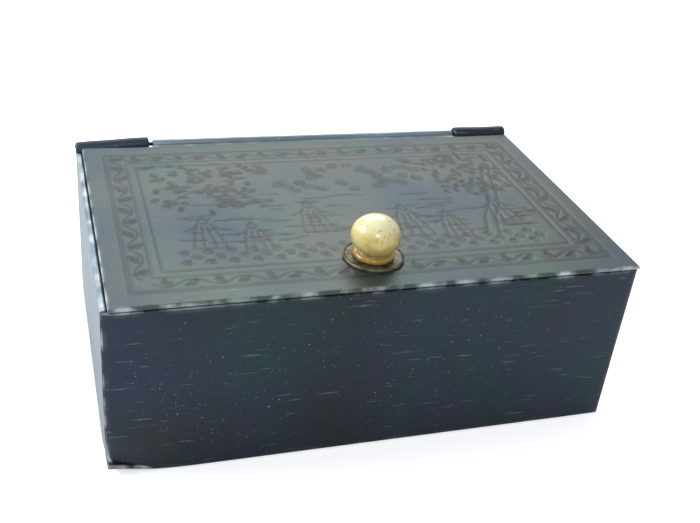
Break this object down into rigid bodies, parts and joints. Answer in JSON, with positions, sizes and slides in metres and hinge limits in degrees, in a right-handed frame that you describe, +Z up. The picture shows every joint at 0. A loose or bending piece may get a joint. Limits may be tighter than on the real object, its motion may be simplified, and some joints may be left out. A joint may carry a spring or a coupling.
{
  "type": "hinged pewter box",
  "caption": "Low rectangular box of soldered pewter sheet with a flat engraved lid on a barrel hinge and a round turned bone knob near its front edge.",
  "frame": {"origin": "middle of the flat underside of the base", "axes": "+X along the width and hinge, +Y from the front to the hinge side, +Z up"},
  "size_m": [0.2036, 0.1314, 0.0907],
  "materials": {
    "pewter": "dark patinated pewter, satin, rubbed bright on the edges",
    "lid_pewter": "grey-green patinated pewter, engraved",
    "bone": "polished yellowed bone",
    "brass": "dull tarnished brass",
    "iron": "dark iron"
  },
  "bodies": {
    "box": {"bottom_plate": "pewter", "front_wall": "pewter", "back_wall": "pewter", "left_wall": "pewter", "right_wall": "pewter", "hinge_knuckle_left": "pewter", "hinge_knuckle_right": "pewter", "hinge_pin": "iron"},
    "lid": {"lid_plate": "lid_pewter", "lid_hinge_barrel": "lid_pewter", "knob_washer": "brass", "knob": "bone", "knob_screw": "iron", "inner_washer": "brass"}
  },
  "joints": [
    {"name": "lid_hinge", "type": "hinge", "parent": "box", "child": "lid", "pos_m": [0, 0.0633, 0.0731], "axis": [-1, 0, 0], "range_deg": [0, 180]}
  ]
}
